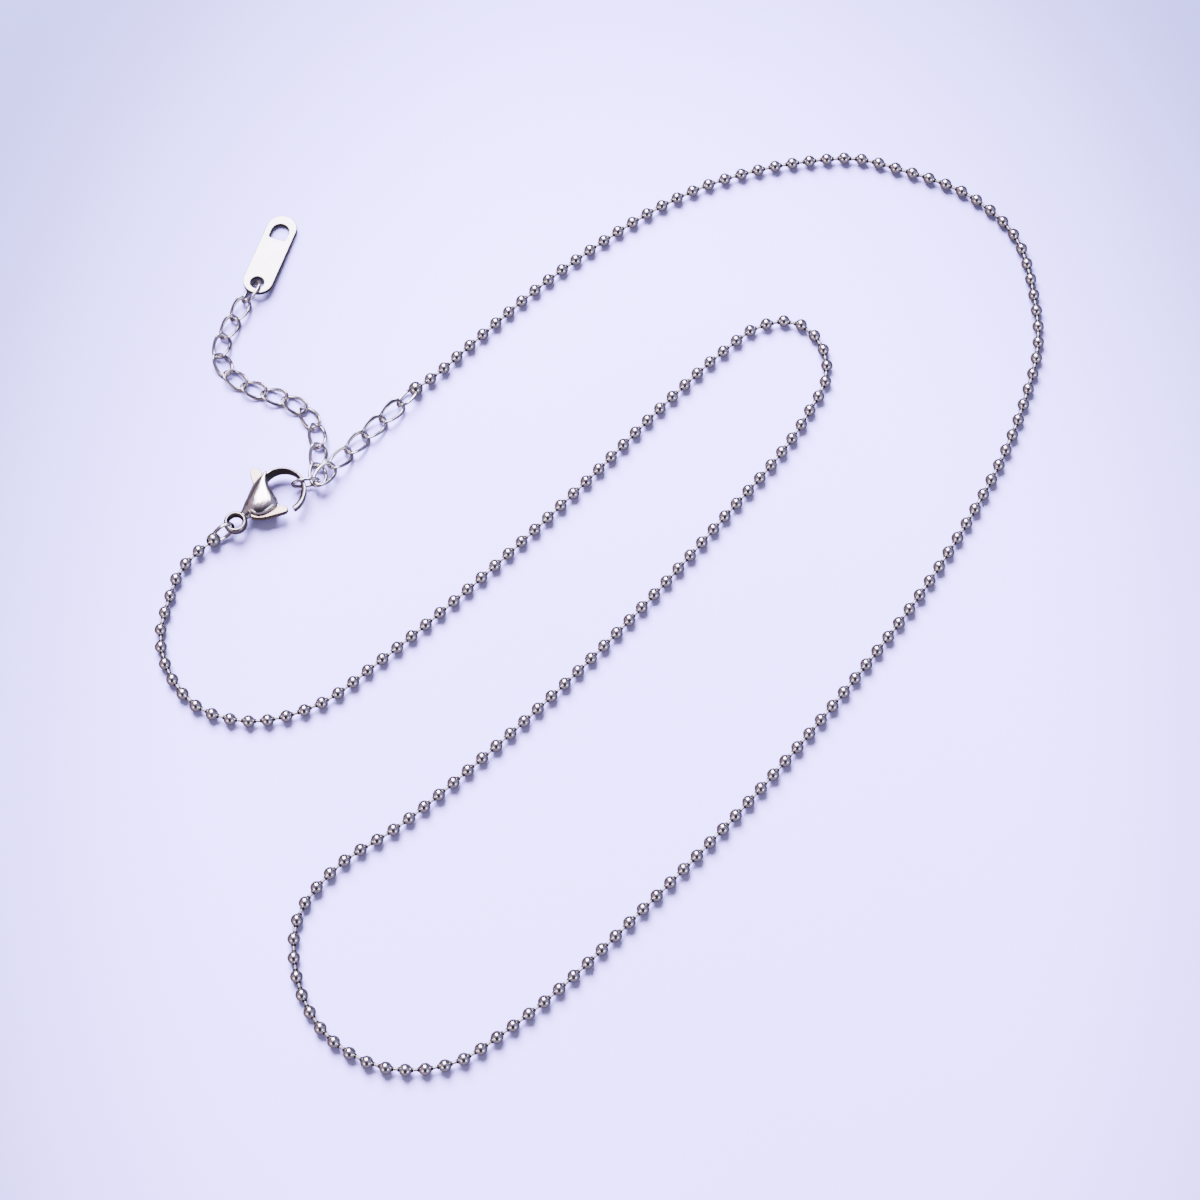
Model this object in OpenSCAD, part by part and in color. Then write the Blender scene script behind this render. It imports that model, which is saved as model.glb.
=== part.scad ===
// Ball chain necklace lying in a loose loop, closed by a lobster clasp on its extender.
// Millimetres. Z = 0 is the surface that it lies on, and X and Y are centred on the loop.

/* [Balls] */
// Diameter of one ball
ball_d = 1.6; // [1.3:0.1:1.7]
// Distance from ball to ball along the chain, rounded to a whole number of balls
ball_pitch = 2.39; // [2.1:0.05:2.8]
// Diameter of the hole through each ball
ball_bore_d = 0.64; // [0.56:0.02:0.7]
// Clear space between a ball's hole and the wire, on straight runs
wire_clear = 0.14; // [0.12:0.01:0.18]

/* [End cups] */
// Thickness of the cups' sheet
cup_wall = 0.12; // [0.1:0.01:0.18]
// Clear space between a cup and the ball that it grips
cup_clear = 0.07; // [0.05:0.01:0.12]
// Width of the slot that the chain wire leaves by
cup_slot_w = 0.9; // [0.7:0.05:1]
// Thickness of the loop's wire
loop_wire_d = 0.42; // [0.32:0.02:0.46]
// Outer width of the loop
loop_w = 2.5; // [2.4:0.05:2.7]

/* [Extender] */
// Thickness of the links' wire
link_wire_d = 0.38; // [0.32:0.02:0.42]
// Outer width of one link
link_w = 2.5; // [2.4:0.05:2.7]
// How far a link's sides are twisted up and down
link_twist = 0.36; // [0.3:0.01:0.4]
// Clear space where two links hold each other
link_clear = 0.2; // [0.16:0.01:0.24]

/* [Tag] */
// Length of the tag
tag_len = 12.8; // [12:0.1:14]
// Width of the tag
tag_w = 4.1; // [3.8:0.1:4.4]
// Thickness of the tag
tag_t = 0.6; // [0.4:0.05:0.7]
// Diameter of the hole that the last link passes through
tag_hole_d = 1.85; // [1.7:0.05:2.1]
// Width of the D-shaped hole
tag_dee_d = 2.4; // [2.2:0.1:2.8]

/* [Clasp] */
// Thickness of the clasp's body
clasp_t = 3.2; // [3:0.05:3.4]
// Radius of the round end of the body
cheek_r = 1.95; // [1.85:0.05:2.05]
// Outer diameter of the eye
eye_d = 3.1; // [2.9:0.05:3.3]
// Diameter of the eye's hole
eye_hole_d = 1.95; // [1.85:0.05:2.1]
// Thickness of the eye
eye_t = 0.8; // [0.7:0.05:0.9]
// Thickness of the claw's wall, seen from above
claw_wall = 0.4; // [0.35:0.05:0.55]
// Thickness of the wall at the claw's tip
claw_tip_wall = 0.85; // [0.6:0.05:1]
// Height of the claw at its root
claw_root_h = 2.4; // [2.1:0.1:2.6]
// Height of the claw at its tip
claw_tip_h = 1; // [0.8:0.05:1.1]

/* [Clasp lever] */
// Thickness of the lever
lever_t = 0.9; // [0.7:0.05:1.1]
// Width of the gate arm
gate_w = 1.3; // [1.1:0.05:1.4]
// Width of the thumb tab
tab_w = 1.5; // [1.3:0.05:1.6]
// Diameter of the hinge pin
pin_d = 0.7; // [0.5:0.05:0.8]
// Clear space between the pin and the lever's hole
pin_clear = 0.05; // [0.03:0.01:0.08]
// Clear space between the lever and the body's slot
slot_clear = 0.1; // [0.06:0.01:0.15]
// How far the lever opens, in degrees
lever_open = 20; // [15:1:22]

/* [Hidden] */
tail_links = 13;
arm_links = 5;
link_count = tail_links + 1 + arm_links;

// Middle of the whole loop, seen from above, in the places below
middle = [0.06, -0.02];

// Places on the surface, from above
eye_at = [-48.13, 8.3];
clasp_turn = 42;
cup_clasp_at = [-50.95, 6.15];
cup_extender_at = [-25.4, 28];

// The chain's route from one cup to the other
chain_route = [cup_clasp_at, [-52.6, 4.8], [-55, 1.9], [-56.3, -2.3], [-57.1, -7], [-55.5, -12.6],
    [-51.8, -16.8], [-45.8, -18.7], [-36.7, -16.5], [-29.1, -10.6], [-20, -2.5], [-3.1, 14.4],
    [8.3, 26.8], [15.2, 33.6], [20.4, 37.5], [24.8, 38], [28, 35.1], [28.9, 30.5], [26, 24.1],
    [14.3, 8.7], [-15.3, -23.1], [-26.1, -32.6], [-33.9, -38.2], [-38, -44], [-38.1, -51.2],
    [-34.3, -58.8], [-27.5, -62.9], [-18.2, -62.3], [-12.3, -58.4], [5.4, -42], [31, -13.1], [42.4, 2.4],
    [54.6, 25.8], [57.1, 35.1], [56.9, 42.2], [54.7, 51.4], [50, 56.7], [39.5, 61.6], [34, 63.2],
    [27.4, 62.8], [15.9, 60], [-6.5, 45.7], [-18.7, 34.2], [-23.8, 29.2], cup_extender_at];

// Functions for the route
function unit(v) = v / norm(v);
// Chord lengths up to each point
function cumulative(points) = [for (k = 0, s = 0; k < len(points);
    s = s + (k + 1 < len(points) ? norm(points[k + 1] - points[k]) : 0), k = k + 1) s];
// Slope of the curve at point k, from its neighbours
function slope(points, t, k) =
    k == 0 ? (points[1] - points[0]) / (t[1] - t[0]) :
    k == len(points) - 1 ? (points[k] - points[k - 1]) / (t[k] - t[k - 1]) :
    let (before = t[k] - t[k - 1], after = t[k + 1] - t[k])
    ((points[k + 1] - points[k]) / after * before + (points[k] - points[k - 1]) / before * after)
        / (before + after);
// A point of the smooth curve between points k and k + 1
function hermite(a, b, slope_a, slope_b, span, u) =
    (2 * u ^ 3 - 3 * u ^ 2 + 1) * a + (u ^ 3 - 2 * u ^ 2 + u) * span * slope_a
    + (3 * u ^ 2 - 2 * u ^ 3) * b + (u ^ 3 - u ^ 2) * span * slope_b;
function smooth(points, steps = 12) = let (t = cumulative(points), last = len(points) - 2) concat(
    [for (k = [0 : last], u = [0 : 1 / steps : 0.999])
        hermite(points[k], points[k + 1], slope(points, t, k), slope(points, t, k + 1),
            t[k + 1] - t[k], u)],
    [points[last + 1]]);
// Tables of length along the curve against each coordinate, read with lookup()
function tables(curve) = let (s = cumulative(curve))
    [for (axis = [0 : len(curve[0]) - 1]) [for (k = [0 : len(curve) - 1]) [s[k], curve[k][axis]]]];
function total(table) = table[0][len(table[0]) - 1][0];
function along(table, s) = [for (axis = table) lookup(s, axis)];

// The balls: the end cups are a little taller than a ball, so the first few balls rise to them
cup_r = ball_d / 2 + cup_clear + cup_wall;
chain_table = tables(smooth(chain_route));
chain_length = total(chain_table);
ball_gaps = round(chain_length / ball_pitch);
ball_step = chain_length / ball_gaps;
rise_steps = 4;
function ease(u) = u * u * (3 - 2 * u);
function ball_rise(steps_from_end) =
    (cup_r - ball_d / 2) * ease(max(0, 1 - steps_from_end / rise_steps));
function chain_at(step) = concat(along(chain_table, step * ball_step),
    [ball_d / 2 + ball_rise(min(step, ball_gaps - step))]);
function chain_way(step) = unit(chain_at(min(step + 0.1, ball_gaps)) - chain_at(max(step - 0.1, 0)));

// Wire swept along a path: rings of points, each with its first normal square to the level direction
function ring_frame(path, k, closed, level) = let (n = len(path),
    way = unit(path[closed ? (k + 1) % n : min(k + 1, n - 1)]
        - path[closed ? (k + n - 1) % n : max(k - 1, 0)]),
    side = unit(cross(level, way)))
    [side, cross(way, side)];
function ring(path, k, r, sides, closed, level) = let (f = ring_frame(path, k, closed, level))
    [for (j = [0 : sides - 1]) path[k] + r * (cos(360 * j / sides) * f[0] + sin(360 * j / sides) * f[1])];
// A solid skin over rings of points that turn left about the way from ring to ring
module skin(rings, closed = false) {
    n = len(rings);
    sides = len(rings[0]);
    spans = closed ? n : n - 1;
    walls = [for (k = [0 : spans - 1], j = [0 : sides - 1], half = [0, 1])
        let (a = k * sides, b = (k + 1) % n * sides, i = (j + 1) % sides)
        half == 0 ? [a + j, b + j, b + i] : [a + j, b + i, a + i]];
    ends = closed ? [] : [[for (j = [0 : sides - 1]) j],
        [for (j = [sides - 1 : -1 : 0]) (n - 1) * sides + j]];
    polyhedron([for (one = rings) each one], concat(walls, ends), convexity = 8);
}
module sweep(path, r, sides, closed = false, level = [0, 0, 1]) {
    skin([for (k = [0 : len(path) - 1]) ring(path, k, r, sides, closed, level)], closed);
}
// Turns local X to a direction, with local Y kept level
module aim(at, way) {
    translate(at)
        rotate([0, -asin(way[2] / norm(way)), atan2(way[1], way[0])]) children();
}

// A twisted oval link between two joints, rolled about its length. The twist at each end can differ.
link_sides = 6;
link_rings = 16;
link_rest_z = link_twist + link_wire_d / 2;
function oval_frame(from, to, roll) = let (
    u = unit(to - from),
    level = unit(cross([0, 0, 1], u)),
    v = cos(roll) * level + sin(roll) * cross(u, level))
    [u, v, cross(u, v)];
function twisted_oval(from, to, width, wire, clear, roll, twist, turns) = let (
    f = oval_frame(from, to, roll),
    half_long = (norm(to - from) + wire + clear) / 2,
    half_wide = (width - wire) / 2)
    [for (t = turns) (from + to) / 2 + half_long * cos(t) * f[0] + half_wide * sin(t) * f[1]
        + (cos(t) < 0 ? twist[0] : twist[1]) * sin(2 * t) * f[2]];
all_round = [for (k = [0 : link_rings - 1]) 360 * (k + 0.5) / link_rings];
function link_path(joint) = twisted_oval(joint[0], joint[1], link_w, link_wire_d, link_clear,
    joint[2], joint[3], all_round);

// The clasp lies on its cheek. Its own frame starts at the eye's centre, with X towards the claw.
clasp_mid_z = clasp_t / 2;
cheek_at = [4.37, 0.25];
shoulder_at = [5.62, 1.85];
shoulder_r = 1.05;
shoulder_h = 2.9;
brow_at = [7.28, 2.28];
brow_r = 0.5;
corner_at = [5.47, -1.3];
corner_r = 0.5;
neck_at = [1.35, 0.15];
neck_r = 0.65;
neck_h = 1;
neck_end = [3.15, 0.35];
neck_end_r = 1.35;
pivot_at = [4.75, -0.12];
hook_at = [7.5, -0.45];
hook_r = 2.7;
claw_from = 104;
claw_to = -103;
claw_flare = 0.3;
claw_rings = 18;
tab_turn = 67;
tab_reach = 4.1;
gate_turn = -62;
gate_reach = 3;
// The lever's heel shows along the back of the body: points from the pivot, out to the gate
heel = [[0, 0.5], [-2.7, -0.5], [-1.8, -1.35], [-0.6, -2.05], [0.8, -2.9]];
// The heel's slot opens downwards, out of the body
heel_slot = [[0, 0.6], [-2.85, -0.35], [-2.85, -1.5], [-1.9, -2.4], [0.8, -3.7], [1.2, -1]];
hub_r = 1;
pin_seat_clear = 0.02;
pin_len = clasp_t - 0.8;
function rotated(v, a) = [v[0] * cos(a) - v[1] * sin(a), v[0] * sin(a) + v[1] * cos(a)];
function on_clasp(v) = eye_at + rotated(v, clasp_turn);
function claw_share(a) = (claw_from - a) / (claw_from - claw_to);
function claw_radius(a) = hook_r + claw_flare * ease(max(0, -(a + 50) / 53));
function claw_at(a) = hook_at + claw_radius(a) * [cos(a), sin(a)];
function claw_height(a) = claw_tip_h + (claw_root_h - claw_tip_h) * (1 - claw_share(a)) ^ 1.6;

// The link held in the claw stands on edge, and two links hang from its outer end, one above the other
held_turn = -20;
held_way = [cos(10), sin(10)];
held_len = 2.95;
held_shift = 0.45;
held_z = clasp_mid_z - 0.1;
held_at = on_clasp(claw_at(held_turn)) + held_shift * held_way;
held_half = (held_len + link_wire_d + link_clear) / 2;
held_end = held_at + held_half * held_way;
arm_way = [0.71, 0.71];
tail_way = [0.1, 0.99];
// Where each run starts: back along its way from the held link's end, to its left, and up
arm_seat = [0.45, -0.1, 0.25];
tail_seat = [0.4, 0.1, -0.3];
function seat_at(way, seat) = concat(
    held_end - seat[0] * way + seat[1] * [-way[1], way[0]], [held_z + seat[2] - link_rest_z]);

// Cup loops: how far the loop's end reaches, its height and its roll about its length
eye_reach = 0.53;
clasp_loop_roll = 70;
extender_loop_roll = 34;
clasp_loop_tip = concat(eye_at + eye_reach * unit(cup_clasp_at - eye_at), [clasp_mid_z + 0.2]);
extender_loop_way = [-0.66, -0.75];
extender_loop_len = 3.3;
extender_loop_tip = concat(cup_extender_at + extender_loop_len * unit(extender_loop_way), [0.9]);
extender_joint = extender_loop_tip
    - concat((loop_wire_d + link_clear) / 2 * unit(extender_loop_way), [0]);

// The tag leans on its outer end, and the last link lifts its inner end
tag_turn = 70;
tag_hole_at = [-47, 43.75];
tag_hole_edge = 1.65;
tag_dee_edge = 2.35;
tag_hole_z = 1;
tag_hole_x = tag_hole_edge - tag_len / 2;
tag_dee_x = tag_len / 2 - tag_dee_edge;
tag_lean = asin((tag_hole_z - tag_t / 2) / (tag_len / 2 - tag_hole_x));

// Routes of the two runs of the extender, from the held link: X, Y and height above lying flat
tail_route = [seat_at(tail_way, tail_seat),
    [-38, 17.6, 0.1], [-38, 21.2, 0], [-39.2, 24.2, 0], [-41.4, 26.1, 0], [-44.5, 27.2, 0],
    [-47.3, 28.2, 0], [-49.8, 29.9, 0], [-51.5, 32.1, 0], [-51.5, 34.7, 0], [-50.3, 37.5, 0.02],
    [-49.2, 39.9, 0.2], [tag_hole_at[0], tag_hole_at[1], tag_hole_z - link_rest_z]];
arm_route = [seat_at(arm_way, arm_seat),
    [-35.8, 16.8, 0.62], [-33.8, 19.1, 0.15], [-31.7, 21.5, 0.02], [-29.6, 23.6, 0.12],
    [extender_joint[0], extender_joint[1], extender_joint[2] - link_rest_z]];
tail_table = tables(smooth(tail_route));
arm_table = tables(smooth(arm_route));
function link_joint(table, share) = along(table, total(table) * share) + [0, 0, link_rest_z];
tag_link_roll = -42;
// Each link is its two joints, its roll and its twist at each end, numbered from the tag
function tail_link(k) = let (s = tail_links - k)
    [link_joint(tail_table, s / tail_links), link_joint(tail_table, (s + 1) / tail_links),
        k == 1 ? tag_link_roll : 0, [s == 0 || k == 1 ? 0 : link_twist, k == 1 ? 0 : link_twist]];
function arm_link(k) = let (s = k - tail_links - 2)
    [link_joint(arm_table, s / arm_links), link_joint(arm_table, (s + 1) / arm_links),
        0, [s == 0 ? 0 : link_twist, link_twist]];
held_link = [concat(held_at - held_len / 2 * held_way, [held_z]),
    concat(held_at + held_len / 2 * held_way, [held_z]), 90, [0, 0]];
function link_at(k) = k <= tail_links ? tail_link(k) : k == tail_links + 1 ? held_link : arm_link(k);

function link_name(k) = str("extender_link_", k < 10 ? "0" : "", k);

module drilled_ball(step) {
    translate(chain_at(step))
        rotate([0, 90 - asin(chain_way(step)[2]), atan2(chain_way(step)[1], chain_way(step)[0])])
            difference() {
                sphere(d = ball_d, $fn = 32);
                cylinder(d = ball_bore_d, h = ball_d * 1.2, center = true, $fn = 24);
            }
}
module ball_chain() color("silver")
    for (step = [0 : ball_gaps]) drilled_ball(step);

module chain_wire() color("darkgray")
    sweep([for (half_step = [0 : 2 * ball_gaps]) chain_at(half_step / 2)],
        ball_bore_d / 2 - wire_clear, 6);

// A sheet cup round the last ball, slotted for the wire, with a loop on its far side
loop_end_turn = 135;
cup_slot_from = 0.4;
module cup_loop(cup_at, tip, roll) {
    reach = norm(tip - cup_at);
    half_wide = (loop_w - loop_wire_d) / 2;
    grip_r = cup_r - cup_wall / 2;
    foot = sqrt(grip_r ^ 2 - (half_wide * sin(loop_end_turn)) ^ 2);
    half_long = (reach - foot) / (1 - cos(loop_end_turn));
    aim(cup_at, tip - cup_at)
        rotate([roll, 0, 0])
            sweep([for (t = [-loop_end_turn : 15 : loop_end_turn])
                [reach - half_long + half_long * cos(t), half_wide * sin(t), 0]], loop_wire_d / 2, 8);
}
module end_cup(step, way_out, tip, roll) {
    at = chain_at(step);
    translate(at)
        rotate(atan2(way_out[1], way_out[0]))
            difference() {
                rotate([0, 90, 0]) sphere(r = cup_r, $fn = 32);
                rotate([0, 90, 0]) sphere(r = cup_r - cup_wall, $fn = 32);
                translate([cup_slot_from, -cup_slot_w / 2, -cup_slot_w / 2])
                    cube([2 * cup_r, cup_slot_w, 2 * cup_r]);
            }
    cup_loop(at, tip, roll);
}
module end_cup_clasp() color("silver")
    end_cup(0, chain_way(0), clasp_loop_tip, clasp_loop_roll);
module end_cup_extender() color("silver")
    end_cup(ball_gaps, -chain_way(ball_gaps), extender_loop_tip, extender_loop_roll);

module extender_link(k) color("gainsboro")
    sweep(link_path(link_at(k)), link_wire_d / 2, link_sides, closed = true,
        level = oval_frame(link_at(k)[0], link_at(k)[1], link_at(k)[2])[2]);

module tag_outline() {
    difference() {
        union() {
            square([tag_len - tag_w, tag_w], center = true);
            for (side = [-1, 1])
                translate([side * (tag_len - tag_w) / 2, 0]) circle(d = tag_w, $fn = 48);
        }
        translate([tag_hole_x, 0]) circle(d = tag_hole_d, $fn = 32);
        translate([tag_dee_x, 0])
            intersection() {
                circle(d = tag_dee_d, $fn = 32);
                translate([-tag_dee_d / 3, -tag_dee_d / 2]) square(tag_dee_d);
            }
    }
}
module tag() color("whitesmoke")
    translate([tag_hole_at[0], tag_hole_at[1], tag_hole_z])
        rotate([0, tag_lean, tag_turn])
            translate([-tag_hole_x, 0, -tag_t / 2])
                linear_extrude(tag_t) tag_outline();

module on_eye() {
    translate([eye_at[0], eye_at[1], clasp_mid_z]) rotate(clasp_turn) children();
}
// The claw's wall: rings of a rounded upright section along the hook
claw_sides = 10;
function claw_half_wall(a) =
    (claw_wall + (claw_tip_wall - claw_wall) * ease(max(0, claw_share(a) - 0.6) / 0.4)) / 2;
function claw_ring(a) = let (c = claw_at(a), out = [cos(a), sin(a)], half_h = claw_height(a) / 2)
    [for (j = [0 : claw_sides - 1]) let (t = 360 * (j + 0.5) / claw_sides)
        concat(c + claw_half_wall(a) * cos(t) * out, [half_h * sign(sin(t)) * abs(sin(t)) ^ 0.8])];
module claw() {
    skin([for (k = [0 : claw_rings]) claw_ring(claw_from + (claw_to - claw_from) * k / claw_rings)]);
}
// The lever from above, about its pivot
module lever_arm(turn, reach, width) {
    rotate(turn) {
        translate([0, -width / 2]) square([reach, width]);
        translate([reach, 0]) circle(d = width, $fn = 32);
    }
}
module lever_outline() {
    circle(r = hub_r, $fn = 48);
    lever_arm(tab_turn, tab_reach, tab_w);
    lever_arm(gate_turn, gate_reach, gate_w);
    polygon(concat([[0, 0]], heel));
}
// Space that an arm of the lever sweeps, from rest to open
module arm_sweep(turn, width, far) {
    half = width / 2 + slot_clear;
    open = turn + lever_open + 1;
    polygon([for (p = [[turn, 0, -half], [turn, far, -half], [(turn + open) / 2, far * 1.05, 0],
        [open, far, half], [open, 0, half]]) rotated([p[1], p[2]], p[0])]);
}
module clasp_body() color("silver")
    on_eye() {
        difference() {
            union() {
                hull() {
                    translate(cheek_at) scale([1, 1, clasp_t / 2 / cheek_r]) sphere(cheek_r, $fn = 32);
                    translate(shoulder_at) scale([1, 1, shoulder_h / 2 / shoulder_r])
                        sphere(shoulder_r, $fn = 24);
                    translate(brow_at) scale([1, 1, claw_root_h / 2 / brow_r]) sphere(brow_r, $fn = 16);
                    translate(corner_at) scale([1, 1, 2]) sphere(corner_r, $fn = 16);
                }
                hull() {
                    translate(neck_at) cylinder(r = neck_r, h = neck_h, center = true, $fn = 20);
                    translate(neck_end) sphere(neck_end_r, $fn = 24);
                }
                claw();
                cylinder(d = eye_d, h = eye_t, center = true, $fn = 48);
            }
            cylinder(d = eye_hole_d, h = 2 * neck_h, center = true, $fn = 48);
            translate([pivot_at[0], pivot_at[1], -lever_t / 2 - slot_clear])
                linear_extrude(lever_t + 2 * slot_clear) {
                    circle(r = hub_r + slot_clear, $fn = 48);
                    arm_sweep(tab_turn, tab_w, tab_reach + tab_w / 2);
                    arm_sweep(gate_turn, gate_w, gate_reach + gate_w / 2);
                    polygon(heel_slot);
                }
            translate(pivot_at)
                cylinder(d = pin_d + 2 * pin_seat_clear, h = pin_len + 2 * pin_seat_clear,
                    center = true, $fn = 24);
        }
    }

module clasp_lever() color("whitesmoke")
    on_eye()
        translate([pivot_at[0], pivot_at[1], -lever_t / 2])
            linear_extrude(lever_t)
                difference() {
                    lever_outline();
                    circle(d = pin_d + 2 * pin_clear, $fn = 24);
                }
module clasp_pin() color("darkgray")
    on_eye()
        translate(pivot_at) cylinder(d = pin_d, h = pin_len, center = true, $fn = 24);

module placed() {
    translate([-middle[0], -middle[1], 0]) children();
}

placed() ball_chain();
placed() chain_wire();
placed() end_cup_clasp();
placed() end_cup_extender();
placed() clasp_body();
placed() clasp_lever();
placed() clasp_pin();
placed() tag();
for (k = [1 : link_count])
    placed() extender_link(k);
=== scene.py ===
# Ball chain necklace: steel balls on short wires, two end cups, a lobster clasp, an extender chain and a bare tag.
# Sizes in the dictionaries are millimetres. A piece is modelled in millimetres and placed in metres.
import math

import bpy
import numpy as np
from mathutils import Matrix, Vector


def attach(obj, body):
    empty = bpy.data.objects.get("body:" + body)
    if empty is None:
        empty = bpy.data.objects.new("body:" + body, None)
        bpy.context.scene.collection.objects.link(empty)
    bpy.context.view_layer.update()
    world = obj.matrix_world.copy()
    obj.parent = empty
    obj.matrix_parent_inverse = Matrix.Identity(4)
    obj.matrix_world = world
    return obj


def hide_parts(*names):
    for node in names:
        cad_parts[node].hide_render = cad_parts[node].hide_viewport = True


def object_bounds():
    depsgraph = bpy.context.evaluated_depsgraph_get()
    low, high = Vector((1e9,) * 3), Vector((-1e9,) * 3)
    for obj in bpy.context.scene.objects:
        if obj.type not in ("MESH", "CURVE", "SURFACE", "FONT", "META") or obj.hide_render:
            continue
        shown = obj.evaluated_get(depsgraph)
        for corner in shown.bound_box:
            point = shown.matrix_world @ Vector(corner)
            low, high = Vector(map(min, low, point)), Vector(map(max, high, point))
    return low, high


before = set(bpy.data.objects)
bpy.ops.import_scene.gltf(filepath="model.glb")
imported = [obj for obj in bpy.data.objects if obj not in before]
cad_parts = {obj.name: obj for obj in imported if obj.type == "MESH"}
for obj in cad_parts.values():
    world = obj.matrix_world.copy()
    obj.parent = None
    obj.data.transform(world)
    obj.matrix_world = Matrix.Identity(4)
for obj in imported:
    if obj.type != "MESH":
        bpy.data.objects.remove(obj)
cadBox = [list(corner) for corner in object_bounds()]
mm = 0.001
bpy.ops.object.select_all(action="DESELECT")


def srgb(hexValue):
    channels = [int(hexValue[i:i + 2], 16) / 255 for i in (1, 3, 5)]
    return tuple(c / 12.92 if c <= 0.04045 else ((c + 0.055) / 1.055) ** 2.4 for c in channels) + (1,)


def addNode(tree, kind, settings=None, links=None):
    node = tree.nodes.new(kind)
    for key, value in (settings or {}).items():
        if isinstance(key, int) or key in node.inputs:
            node.inputs[key].default_value = value
        else:
            setattr(node, key, value)
    for key, socket in (links or {}).items():
        tree.links.new(socket, node.inputs[key])
    return node


# ---- camera, lights and floor
print("camera, floor and lights")
camera = {"at": (-1.174, -148.771, 348.867), "tilt": 22.844, "lens": 88.57, "sensor": 36, "near": 10}
bpy.ops.object.camera_add(location=[c * mm for c in camera["at"]], rotation=(math.radians(camera["tilt"]), 0, 0))
photoCamera = bpy.context.object
photoCamera.name = "photo_camera"
photoCamera.data.lens = camera["lens"]
photoCamera.data.sensor_width = camera["sensor"]
photoCamera.data.clip_start = camera["near"] * mm
bpy.context.scene.camera = photoCamera

# Softboxes as in a small tabletop set. The big one behind and above has a lamp at its middle: steel mirrors its whole
# screen, and the card's shadows come from the lamp. The low pair in front gives the two lighter spots on each ball.
softboxes = {
    "screen": {"at": (-115, 383, 512), "size": (420, 560), "power": 15, "colour": "#fdf8ff", "seenBy": "steel"},
    "lamp": {"at": (-150, 430, 462), "size": (440, 440), "power": 75, "colour": "#e8e8ff", "seenBy": "card"},
    "lowLeft": {"at": (-420, -430, 260), "size": (310, 250), "power": 1.0, "colour": "#fff0e6", "seenBy": "steel"},
    "lowRight": {"at": (420, -430, 260), "size": (310, 250), "power": 1.0, "colour": "#f4f2ff", "seenBy": "steel"},
}
for name, box in softboxes.items():
    at = Vector(box["at"]) * mm
    turn = (-at).to_track_quat("-Z", "Y").to_euler()
    bpy.ops.object.light_add(type="AREA", location=at, rotation=turn)
    light = bpy.context.object
    light.name = "softbox_" + name
    light.data.shape = "RECTANGLE"
    light.data.size, light.data.size_y = [side * mm for side in box["size"]]
    light.data.energy = box["power"]
    light.data.color = srgb(box["colour"])[:3]
    light.visible_diffuse, light.visible_glossy = box["seenBy"] == "card", box["seenBy"] == "steel"

# The room round the set. What steel mirrors of it is a tone by how far a direction leans towards the near side, from 0
# for low and behind: the set's dark back near 0.4, pale walls, and the photographer's dark shape at 1. It is a little
# warmer on the left than on the right. The card gets an even fill, as in a light tent, which colours its shadows.
room = {"lean": (0, -0.67, 0.74), "glow": 1.75, "left": "#fae4e4", "right": "#e2e2ff", "sides": 0.8,
        "fill": "#ecffd8", "fillGlow": 0.8,
        "tones": [(0, "#7d7a86"), (0.16, "#797681"), (0.28, "#696670"), (0.345, "#4a4650"), (0.4, "#45414a"),
                  (0.46, "#858090"), (0.57, "#948f9e"), (0.72, "#9893a2"), (0.88, "#9c97a6"), (0.95, "#4b4750"),
                  (1, "#2a2830")]}
world = bpy.data.worlds.new("studio_room")
bpy.context.scene.world = world
world.use_nodes = True
tree = world.node_tree
tree.nodes.clear()
roomWay = addNode(tree, "ShaderNodeTexCoord")
roomLean = addNode(tree, "ShaderNodeVectorMath", {"operation": "DOT_PRODUCT", 1: room["lean"]},
                   {0: roomWay.outputs["Generated"]})
roomRise = addNode(tree, "ShaderNodeMapRange", {"From Min": -1, "From Max": 1}, {"Value": roomLean.outputs["Value"]})
roomTones = addNode(tree, "ShaderNodeValToRGB", links={"Fac": roomRise.outputs["Result"]})
for k, (place, tone) in enumerate(room["tones"]):
    stop = roomTones.color_ramp.elements[k] if k < 2 else roomTones.color_ramp.elements.new(place)
    stop.position, stop.color = place, srgb(tone)
roomSides = addNode(tree, "ShaderNodeSeparateXYZ", links={0: roomWay.outputs["Generated"]})
roomAcross = addNode(tree, "ShaderNodeMapRange", {"From Min": -room["sides"], "From Max": room["sides"]},
                     {"Value": roomSides.outputs["X"]})
roomWarmth = addNode(tree, "ShaderNodeMix", {"data_type": "RGBA", 6: srgb(room["left"]), 7: srgb(room["right"])},
                     {0: roomAcross.outputs["Result"]})
roomColour = addNode(tree, "ShaderNodeMix", {"data_type": "RGBA", "blend_type": "MULTIPLY", 0: 1.0},
                     {6: roomTones.outputs["Color"], 7: roomWarmth.outputs[2]})
roomGlow = addNode(tree, "ShaderNodeBackground", {"Strength": room["glow"]}, {"Color": roomColour.outputs[2]})
roomFill = addNode(tree, "ShaderNodeBackground", {"Color": srgb(room["fill"]), "Strength": room["fillGlow"]})
roomPath = addNode(tree, "ShaderNodeLightPath")
roomBoth = addNode(tree, "ShaderNodeMixShader", links={0: roomPath.outputs["Is Glossy Ray"], 1: roomFill.outputs[0],
                                                       2: roomGlow.outputs[0]})
addNode(tree, "ShaderNodeOutputWorld", links={"Surface": roomBoth.outputs[0]})

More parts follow.
